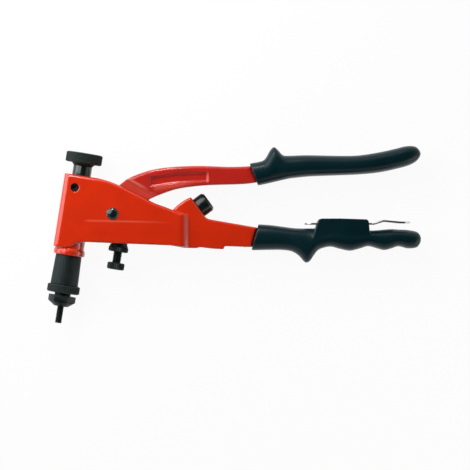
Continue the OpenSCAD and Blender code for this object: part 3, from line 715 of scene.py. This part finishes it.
def diamond_rows(radius, low, high, pitch, depth, count):
    """Rows of a diamond knurl between two heights."""
    number = round((high - low) / pitch * 6)
    rows = []
    for i in range(number + 1):
        y = low + (high - low) * i / number

        def wall(angle, y=y):
            turn = count * angle / math.tau
            climb = (y - low) / pitch
            return radius - depth * (1 - min(ridge(turn + climb), ridge(turn - climb)))

        rows.append((wall, y))
    return rows


def rib_wall(radius, depth, count):
    """Radius round a straight knurl."""
    return lambda angle: radius - depth * (1 - ridge(count * angle / math.tau))


def thread_rows(radius, low, high, pitch, share=0.522, run_out=0.7):
    """Rows of a screw thread between two heights, which fades out at both ends."""
    depth = share * pitch
    number = round((high - low) / pitch * 8)
    rows = []
    for i in range(number + 1):
        y = low + (high - low) * i / number
        fade = min(1, (y - low) / (run_out * pitch), (high - y) / (run_out * pitch))

        def wall(angle, y=y, fade=fade):
            return radius - depth * fade * (1 - ridge(y / pitch - angle / math.tau))

        rows.append((wall, y))
    return rows


def knurl_count(radius, pitch, sides_per=6):
    """Whole number of knurls round a radius, and the sides that draw them."""
    count = round(math.tau * radius / pitch)
    return count, count * sides_per


class RIVETTOOL_OT_casting(bpy.types.Operator):
    """Add the red die-cast body with rounded edges"""
    bl_idname = "rivet_tool.casting"
    bl_label = "Casting"

    def execute(self, context):
        sizes = context.scene.rivet_tool_sizes
        bm = solid_of("body_casting")
        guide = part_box("guide_screw")
        guide_at = ((guide[0] + guide[1]) / 2 / MM).xy
        # Rims this near to the pin and the guide screw, in millimetres, stay sharp
        holes = [(PIVOT.xy, 6), (guide_at, 5)]
        for above, below, facing, width in (
            (*CHEEK_BAND, 1, sizes.cheek_round), (*ARM_BAND, 1, sizes.arm_round),
            (ARM_BAND[0], CHEEK_BAND[1], -1, sizes.under_round),
        ):
            round_over(bm, outer_rims(bm, above, below, facing, holes), width)
        # The pin fills its holes in the cheeks
        plug = 4.3 * MM
        plug_middle = 9.4 * MM
        for side in (-1, 1):
            bmesh.ops.create_cone(
                bm, cap_ends=True, segments=48, radius1=plug, radius2=plug, depth=4 * MM,
                matrix=Matrix.Translation((PIVOT.x * MM, PIVOT.y * MM, side * plug_middle)),
            )
        bm = skinned(bm, sizes.cast_step, passes=5)
        raise_skin(bm, casting_relief)
        # Painted highlight along the pad's crease, stored in the attribute that the enamel reads
        wear_and_highlight = bm.verts.layers.float.new("wear_and_highlight")
        for vert in bm.verts:
            if abs(vert.co.z) > CHEEK_SKIN * MM:
                vert[wear_and_highlight] = 0.3 * wear_and_highlight_along(vert.co.xy / MM, *reversed(PAD_CREASE), width=0.6)
        add_piece("casting", bm, "body_casting", crease=180)
        return {"FINISHED"}


class RIVETTOOL_OT_lever(bpy.types.Operator):
    """Add the red forged lever with its sunk panels"""
    bl_idname = "rivet_tool.lever"
    bl_label = "Lever"

    def execute(self, context):
        sizes = context.scene.rivet_tool_sizes
        bm = solid_of("lever")
        floors = [
            f for f in bm.faces
            if abs(f.normal.z) > 0.9
            and THIN_HALF + 0.2 < abs(f.calc_center_median().z) / MM < THICK_HALF - 0.2
        ]
        bmesh.ops.inset_region(bm, faces=floors, thickness=sizes.panel_slope, depth=-sizes.panel_slope / 2)
        round_over(bm, outer_rims(bm, *ARM_BAND, 1), sizes.lever_round)
        round_over(bm, outer_rims(bm, *ARM_BAND, -1), sizes.under_round)
        bm = skinned(bm, sizes.skin_step, passes=8)
        for vert in bm.verts:
            into = (vert.co.xy / MM - STEP_AT).dot(STEP_SIDE)
            top = (THIN_HALF + (THICK_HALF - THIN_HALF) * into / STEP_RUN) * MM
            if 0 <= into < STEP_RUN and abs(vert.co.z) > top:
                vert.co.z = math.copysign(top, vert.co.z)
        near = [v for v in bm.verts if -1 < (v.co.xy / MM - STEP_AT).dot(STEP_SIDE) < STEP_RUN + 1]
        for turn in range(4):
            bmesh.ops.smooth_vert(
                bm, verts=near, factor=0.5, use_axis_x=True, use_axis_y=True, use_axis_z=True
            )
        # Painted light in the attribute that the enamel reads: the thin plate painted paler as if lit, and
        # painted highlights along the slope's upper edge and the panel's lower border, the slope's edge in
        # part rubbed bare
        wear_and_highlight = bm.verts.layers.float.new("wear_and_highlight")
        for vert in bm.verts:
            at = vert.co.xy / MM
            if abs(vert.co.z) > (THIN_HALF - 0.5) * MM:
                thin_and_sheen = 0.15 * ease_in(1 - (at - STEP_AT).dot(STEP_SIDE) / STEP_RUN)
                line = 0.7 * wear_and_highlight_along(at, *STEP_LINE, width=0.9)
                border = 0.3 * wear_and_highlight_along(at, *PANEL_BORDER, width=1.6)
                vert[wear_and_highlight] = max(thin_and_sheen, line, border)
        add_piece("forged_lever", bm, "lever", crease=180)
        return {"FINISHED"}


class RIVETTOOL_OT_grips(bpy.types.Operator):
    """Add the two black moulded grips and the block that holds the wrench"""
    bl_idname = "rivet_tool.grips"
    bl_label = "Grips"

    def execute(self, context):
        sizes = context.scene.rivet_tool_sizes
        for name, node, stations, place in (
            ("lower_sleeve", "lower_grip", LOWER_STATIONS, LOWER_FRAME),
            ("upper_sleeve", "upper_grip", UPPER_STATIONS, UPPER_FRAME),
        ):
            bm = bmesh.new()
            sleeve_loft(bm, stations, sizes.grip_half, sides=48, steps=5)
            if node == "lower_grip":
                prism(bm, WRENCH_BLOCK, sizes.block_half)
            bmesh.ops.recalc_face_normals(bm, faces=bm.faces)
            put_in_frame(bm, place)
            bm = skinned(bm, sizes.grip_step, passes=6)
            if node == "lower_grip":
                slot = bmesh.new()
                prism(slot, WRENCH_SLOT, sizes.slot_half)
                bmesh.ops.recalc_face_normals(slot, faces=slot.faces)
                put_in_frame(slot, place)
                bm = cut_out(bm, slot)
            add_piece(name, bm, node, crease=60)
        return {"FINISHED"}


class RIVETTOOL_OT_nose(bpy.types.Operator):
    """Add the nose sleeve, its knurled lock ring, the nosepiece and the mandrel"""
    bl_idname = "rivet_tool.nose"
    bl_label = "Nose"

    def execute(self, context):
        sizes = context.scene.rivet_tool_sizes
        add_piece("nose_barrel", eased("nose_sleeve", 0.5 * MM, segments=3), "nose_sleeve")
        low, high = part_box("nose_lock_ring")
        outer = high.x
        bore = 5.85 * MM
        rim = 0.6 * MM
        count, sides = knurl_count(outer, sizes.knurl_pitch)
        rows = [(bore, low.y), (outer - rim - sizes.knurl_depth, low.y)]
        rows += diamond_rows(outer, low.y + rim, high.y - rim, sizes.knurl_pitch, sizes.knurl_depth, count)
        rows += [(outer - rim - sizes.knurl_depth, high.y), (bore, high.y)]
        add_piece("knurled_lock_ring", turned(rows, 0, sides), "nose_lock_ring", crease=25)
        add_piece("hex_nosepiece", eased("nosepiece", 0.25 * MM, corner=20), "nosepiece", surface=OILED)
        low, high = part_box("mandrel")
        thread = 2.5 * MM
        shank = 2.1 * MM
        rows = [(0, low.y), (thread - 0.6 * MM, low.y)]
        rows += thread_rows(thread, low.y + 0.5 * MM, 2 * MM, sizes.fine_pitch)
        rows += [(shank, 2.2 * MM), (shank, high.y), (0, high.y)]
        add_piece("threaded_mandrel", turned(rows, 0, 48, hollow=False), "mandrel", surface=OILED)
        return {"FINISHED"}


class RIVETTOOL_OT_knob(bpy.types.Operator):
    """Add the knurled knob on top and the draw sleeve below it"""
    bl_idname = "rivet_tool.knob"
    bl_label = "Knob and draw sleeve"

    def execute(self, context):
        sizes = context.scene.rivet_tool_sizes
        low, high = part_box("knob")
        outer = high.x
        disc = high.y - 7.4 * MM
        rim = 0.7 * MM
        count, sides = knurl_count(outer, sizes.knurl_pitch)
        bore = 5 * MM
        neck = 6.85 * MM
        ease = 0.25 * MM
        rows = [(bore, low.y), (neck - ease, low.y), (neck, low.y + ease), (8.5 * MM, disc)]
        rows += [(outer - rim - sizes.knurl_depth, disc)]
        rows += diamond_rows(outer, disc + rim, high.y - rim, sizes.knurl_pitch, sizes.knurl_depth, count)
        dish = high.y - 0.5 * MM
        floor = high.y - 3 * MM
        hole = 2 * MM
        rows += [
            (outer - rim - sizes.knurl_depth, high.y), (outer - 2.6 * MM, high.y), (outer - 3.2 * MM, dish),
            (5.2 * MM, dish), (4.6 * MM, high.y), (4 * MM, high.y), (hole, high.y - 2.2 * MM), (hole, floor),
            (bore, floor),
        ]
        add_piece("knurled_knob", turned(rows, 0, sides), "knob", crease=25)
        add_piece("draw_shaft", eased("draw_sleeve", 0.3 * MM), "draw_sleeve", surface=POLISHED)
        return {"FINISHED"}


class RIVETTOOL_OT_stroke_stop(bpy.types.Operator):
    """Add the screw that limits the stroke, its knurled head and its lock nut"""
    bl_idname = "rivet_tool.stroke_stop"
    bl_label = "Stroke stop"

    def execute(self, context):
        sizes = context.scene.rivet_tool_sizes
        low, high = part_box("stroke_stud")
        x = (low.x + high.x) / 2
        radius = (high.x - low.x) / 2
        rows = [(0, low.y), (radius - 0.5 * MM, low.y)]
        rows += thread_rows(radius, low.y + 0.4 * MM, high.y - 0.8 * MM, sizes.coarse_pitch)
        rows += [(radius - 0.8 * MM, high.y), (0, high.y)]
        add_piece("threaded_stop_stud", turned(rows, x, 48, hollow=False), "stroke_stud", surface=OILED)
        for name, node in (("ribbed_stop_knob", "stroke_knob"), ("ribbed_lock_nut", "stop_lock_nut")):
            low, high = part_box(node)
            outer = (high.x - low.x) / 2
            rim = 0.6 * MM
            count, sides = knurl_count(outer, sizes.rib_pitch, sides_per=4)
            wall = rib_wall(outer, sizes.rib_depth, count)
            inset = outer - rim - sizes.rib_depth
            bore = radius + 0.05 * MM
            rows = [
                (bore, low.y), (inset, low.y), (wall, low.y + rim), (wall, high.y - rim), (inset, high.y),
                (bore, high.y),
            ]
            add_piece(name, turned(rows, x, sides), node, crease=25, surface=OILED)
        add_piece("captive_washer", eased("stop_washer", 0.2 * MM), "stop_washer", surface=OILED)
        add_piece("flanged_insert", eased("stop_insert", 0.25 * MM), "stop_insert", surface=OILED)
        return {"FINISHED"}


class RIVETTOOL_OT_pins(bpy.types.Operator):
    """Add the pivot pin, its circlip, the guide screw, the buffer and the wrench with eased edges"""
    bl_idname = "rivet_tool.pins"
    bl_label = "Pins, buffer and wrench"

    def execute(self, context):
        add_piece("domed_pivot_pin", eased("pivot_pin", 0.25 * MM), "pivot_pin", surface=POLISHED)
        add_piece("pin_circlip", eased("pivot_circlip", 0.15 * MM), "pivot_circlip")
        add_piece("socket_guide_screw", eased("guide_screw", 0.2 * MM), "guide_screw")
        add_piece("rubber_buffer", eased("stop_buffer", 0.4 * MM, segments=3), "stop_buffer")
        add_piece("flat_wrench", eased("wrench", 0.25 * MM), "wrench")
        return {"FINISHED"}


class RIVETTOOL_OT_inside(bpy.types.Operator):
    """Give the pieces inside the tool their finishes"""
    bl_idname = "rivet_tool.inside"
    bl_label = "Inside pieces"

    def execute(self, context):
        for node, piece in NODES.items():
            if not piece.hide_render:
                piece.data.materials.clear()
                piece.data.materials.append(finish(FINISH_OF_SLOT[SLOT_OF[node]]))
        return {"FINISHED"}


class RIVETTOOL_OT_stage(bpy.types.Operator):
    """Add the floor, the camera, the lamps and the soft light from all round"""
    bl_idname = "rivet_tool.stage"
    bl_label = "Stage"

    def execute(self, context):
        stage = context.scene.rivet_tool_stage
        context.scene.view_settings.view_transform = "Standard"

        mesh = bpy.data.meshes.new("floor")
        reach = 4
        mesh.from_pydata(
            [(x * reach, y * reach, cad_box[0].z) for x, y in ((-1, -1), (1, -1), (1, 1), (-1, 1))],
            [], [(0, 1, 2, 3)],
        )
        floor = bpy.data.objects.new("floor", mesh)
        context.scene.collection.objects.link(floor)
        # Matt white card: seen directly it is nearly even white, and it keeps a soft shadow
        card = bpy.data.materials.new("matt_white_card")
        card.use_nodes = True
        tree = card.node_tree
        tree.nodes.clear()
        share = add_node(tree, "ShaderNodeMath", {"operation": "MULTIPLY"}, {0: seen_by_eye(tree), 1: 0.94})
        matt = add_node(tree, "ShaderNodeBsdfDiffuse", {}, {"Color": list(stage.floor_white)})
        glow = add_node(tree, "ShaderNodeEmission", {}, {"Color": linear("#ffffff"), "Strength": 1.0})
        mixed = add_node(tree, "ShaderNodeMixShader", {}, {
            0: share.outputs[0], 1: matt.outputs[0], 2: glow.outputs[0],
        })
        add_node(tree, "ShaderNodeOutputMaterial", {}, {"Surface": mixed.outputs[0]})
        mesh.materials.append(card)

        world = bpy.data.worlds.new("white_room")
        world.use_nodes = True
        tree = world.node_tree
        tree.nodes.clear()
        soft_light = add_node(tree, "ShaderNodeBackground", {}, {
            "Color": linear("#ffffff"), "Strength": stage.ambient,
        })
        # White walls up to a third of the way, and a dim ceiling that flat faces mirror
        way = add_node(tree, "ShaderNodeTexCoord", {}, {})
        climb = add_node(tree, "ShaderNodeSeparateXYZ", {}, {0: way.outputs["Generated"]})
        wall = add_node(tree, "ShaderNodeMapRange", {"interpolation_type": "SMOOTHSTEP"}, {
            "Value": climb.outputs["Z"], "From Min": 0.4, "From Max": 0.8,
            "To Min": 1.0, "To Max": stage.ceiling,
        })
        white = add_node(tree, "ShaderNodeBackground", {}, {
            "Color": linear("#ffffff"), "Strength": wall.outputs["Result"],
        })
        mixed = add_node(tree, "ShaderNodeMixShader", {}, {
            0: seen_by_eye(tree), 1: soft_light.outputs[0], 2: white.outputs[0],
        })
        add_node(tree, "ShaderNodeOutputWorld", {}, {"Surface": mixed.outputs[0]})
        context.scene.world = world

        for name, power, wide, high, at in (
            ("key_soft_box", stage.key_power, 0.5, 0.5, (-0.32, 0.26, 0.34)),
            ("left_soft_box", stage.left_power, 0.5, 0.14, (-0.42, 0.08, 0.09)),
            ("top_small_lamp", stage.top_power, 0.1, 0.07, (-0.08, 0.5, 0.26)),
            ("right_fill_lamp", stage.right_power, 0.3, 0.14, (0.5, -0.02, 0.09)),
        ):
            lamp = bpy.data.lights.new(name, "AREA")
            lamp.energy = power
            lamp.shape = "RECTANGLE"
            lamp.size = wide
            lamp.size_y = high
            holder = bpy.data.objects.new(name, lamp)
            holder.location = at
            holder.rotation_euler = (PHOTO_CENTRE - Vector(at)).to_track_quat("-Z", "Y").to_euler()
            context.scene.collection.objects.link(holder)

        view = bpy.data.cameras.new("camera")
        view.sensor_width = SENSOR_MM
        view.lens = SENSOR_MM * stage.camera_height / PHOTO_WIDTH
        camera = bpy.data.objects.new("camera", view)
        camera.location = PHOTO_CENTRE + Vector((0, 0, stage.camera_height))
        camera.rotation_euler = (0, 0, PHOTO_TURN)
        context.scene.collection.objects.link(camera)
        context.scene.camera = camera
        return {"FINISHED"}


PIECES = (
    RIVETTOOL_OT_casting, RIVETTOOL_OT_lever, RIVETTOOL_OT_grips, RIVETTOOL_OT_nose, RIVETTOOL_OT_knob,
    RIVETTOOL_OT_stroke_stop, RIVETTOOL_OT_pins, RIVETTOOL_OT_inside, RIVETTOOL_OT_stage,
)


class RIVETTOOL_PT_panel(bpy.types.Panel):
    """Lists the tool's pieces with their colours and sizes"""
    bl_idname = "RIVETTOOL_PT_panel"
    bl_label = "Rivet nut tool"
    bl_space_type = "VIEW_3D"
    bl_region_type = "UI"
    bl_category = "Rivet nut tool"

    def draw(self, context):
        for operator in PIECES:
            self.layout.operator(operator.bl_idname)
        scene = context.scene
        for group in (scene.rivet_tool_colours, scene.rivet_tool_sizes, scene.rivet_tool_stage):
            box = self.layout.box()
            for key in group.__annotations__:
                box.prop(group, key)


GROUPS = (RivetToolColours, RivetToolSizes, RivetToolStage)
CLASSES = GROUPS + PIECES + (RIVETTOOL_PT_panel,)


def register():
    for made in CLASSES:
        bpy.utils.register_class(made)
    bpy.types.Scene.rivet_tool_colours = PointerProperty(type=RivetToolColours)
    bpy.types.Scene.rivet_tool_sizes = PointerProperty(type=RivetToolSizes)
    bpy.types.Scene.rivet_tool_stage = PointerProperty(type=RivetToolStage)


def unregister():
    del bpy.types.Scene.rivet_tool_stage
    del bpy.types.Scene.rivet_tool_sizes
    del bpy.types.Scene.rivet_tool_colours
    for made in reversed(CLASSES):
        bpy.utils.unregister_class(made)


def main():
    register()
    bpy.ops.rivet_tool.casting()
    bpy.ops.rivet_tool.lever()
    bpy.ops.rivet_tool.grips()
    bpy.ops.rivet_tool.nose()
    bpy.ops.rivet_tool.knob()
    bpy.ops.rivet_tool.stroke_stop()
    bpy.ops.rivet_tool.pins()
    bpy.ops.rivet_tool.inside()
    bpy.ops.rivet_tool.stage()


if __name__ == "__main__":
    main()
